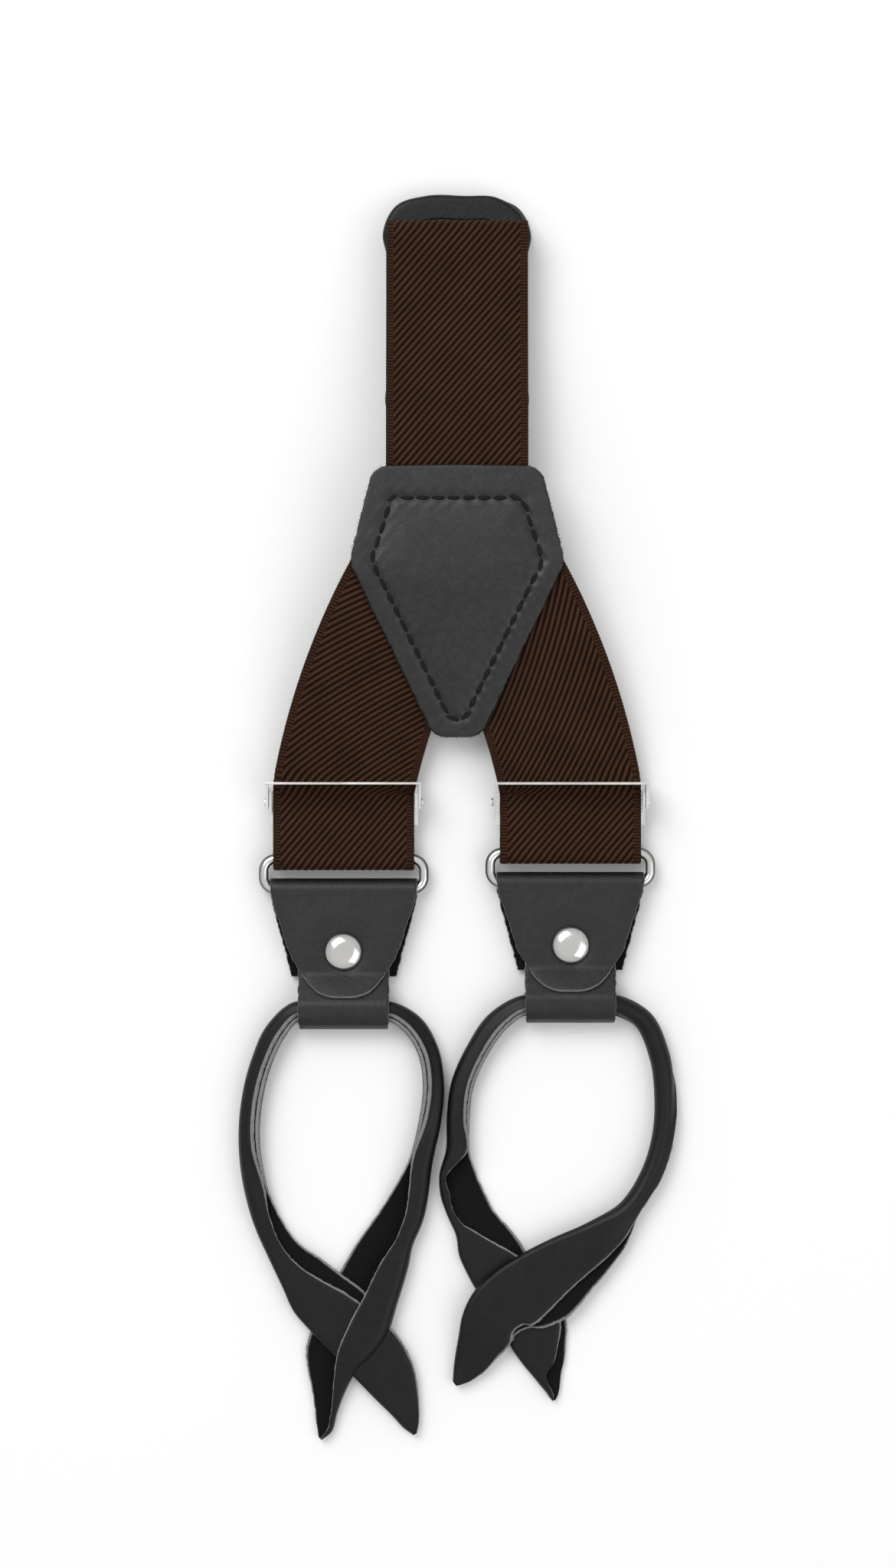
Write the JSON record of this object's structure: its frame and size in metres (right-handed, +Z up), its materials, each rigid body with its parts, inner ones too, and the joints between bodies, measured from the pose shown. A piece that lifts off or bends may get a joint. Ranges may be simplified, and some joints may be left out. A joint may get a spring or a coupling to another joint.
{
  "type": "button suspenders",
  "caption": "Y-back button suspenders in elastic webbing with a stitched leather yoke, lever adjusters, wire rings and rolled leather button loops, laid flat.",
  "frame": {"origin": "on the floor under the middle of the whole laid-out object", "axes": "+Y from the front button loops to the fold of the back strap, +X to the wearer's front-right strap, +Z up off the surface it lies on"},
  "size_m": [0.1091, 0.3098, 0.0177],
  "materials": {
    "brown_elastic": "twill-ribbed elastic webbing",
    "black_leather": "satin fine grain",
    "rolled_leather": "satin, rolled, grey cut edges",
    "black_thread": "waxed thread",
    "nickel_wire": "polished nickel",
    "nickel_rivet": "polished nickel",
    "nickel_plate": "polished nickel"
  },
  "bodies": {
    "braces": {"yoke_front_leather": "black_leather", "yoke_back_leather": "black_leather", "yoke_stitching": "black_thread", "back_strap": "brown_elastic", "left_front_strap": "brown_elastic", "right_front_strap": "brown_elastic"},
    "left_adjuster": {"left_adjuster_frame": "nickel_plate", "left_adjuster_pins": "nickel_plate"},
    "left_lever": {"left_adjuster_lever": "nickel_plate"},
    "left_link": {"left_ring": "nickel_wire"},
    "left_end": {"left_chape": "black_leather", "left_loop_strip": "black_leather", "left_rivet_cap": "nickel_rivet", "left_rivet_back": "nickel_rivet"},
    "left_loop": {"left_button_loop": "rolled_leather"},
    "right_adjuster": {"right_adjuster_frame": "nickel_plate", "right_adjuster_pins": "nickel_plate"},
    "right_lever": {"right_adjuster_lever": "nickel_plate"},
    "right_link": {"right_ring": "nickel_wire"},
    "right_end": {"right_chape": "black_leather", "right_loop_strip": "black_leather", "right_rivet_cap": "nickel_rivet", "right_rivet_back": "nickel_rivet"},
    "right_loop": {"right_button_loop": "rolled_leather"},
    "back_link": {"back_ring": "nickel_wire"},
    "back_end": {"back_chape": "black_leather", "back_loop_strip": "black_leather", "back_rivet_cap": "nickel_rivet", "back_rivet_back": "nickel_rivet"},
    "back_loop": {"back_button_loop": "rolled_leather"}
  },
  "joints": [
    {"name": "left_adjuster_slide", "type": "slide", "parent": "braces", "child": "left_adjuster", "axis": [0, 1, 0], "range_m": [-0.005, 0]},
    {"name": "left_lever_hinge", "type": "hinge", "parent": "left_adjuster", "child": "left_lever", "pos_m": [-0.0282, 0.0042, 0.0052], "axis": [1, 0, 0], "range_deg": [0, 90]},
    {"name": "left_ring_swing", "type": "hinge", "parent": "braces", "child": "left_link", "pos_m": [-0.0282, -0.0099, 0.0035], "axis": [-1, 0, 0], "range_deg": [-50, 50]},
    {"name": "left_end_swing", "type": "hinge", "parent": "left_link", "child": "left_end", "pos_m": [-0.0282, -0.0175, 0.0035], "axis": [-1, 0, 0], "range_deg": [-60, 60]},
    {"name": "left_loop_swing", "type": "hinge", "parent": "left_end", "child": "left_loop", "pos_m": [-0.0282, -0.0481, 0.00435], "axis": [-1, 0, 0], "range_deg": [-55, 55]},
    {"name": "right_adjuster_slide", "type": "slide", "parent": "braces", "child": "right_adjuster", "axis": [0, 1, 0], "range_m": [-0.005, 0]},
    {"name": "right_lever_hinge", "type": "hinge", "parent": "right_adjuster", "child": "right_lever", "pos_m": [0.0282, 0.0042, 0.0052], "axis": [1, 0, 0], "range_deg": [0, 90]},
    {"name": "right_ring_swing", "type": "hinge", "parent": "braces", "child": "right_link", "pos_m": [0.0282, -0.0083, 0.0035], "axis": [-1, 0, 0], "range_deg": [-50, 50]},
    {"name": "right_end_swing", "type": "hinge", "parent": "right_link", "child": "right_end", "pos_m": [0.0282, -0.0159, 0.0035], "axis": [-1, 0, 0], "range_deg": [-60, 60]},
    {"name": "right_loop_swing", "type": "hinge", "parent": "right_end", "child": "right_loop", "pos_m": [0.0282, -0.0465, 0.00435], "axis": [-1, 0, 0], "range_deg": [-55, 55]},
    {"name": "back_ring_swing", "type": "hinge", "parent": "braces", "child": "back_link", "pos_m": [0, 0.06343, 0.00957], "axis": [-1, 0, 0], "range_deg": [0, 80]},
    {"name": "back_end_swing", "type": "hinge", "parent": "back_link", "child": "back_end", "pos_m": [0, 0.068, 0.0035], "axis": [-1, 0, 0], "range_deg": [0, 45]},
    {"name": "back_loop_swing", "type": "hinge", "parent": "back_end", "child": "back_loop", "pos_m": [0, 0.0986, 0.00435], "axis": [-1, 0, 0], "range_deg": [0, 35]}
  ]
}
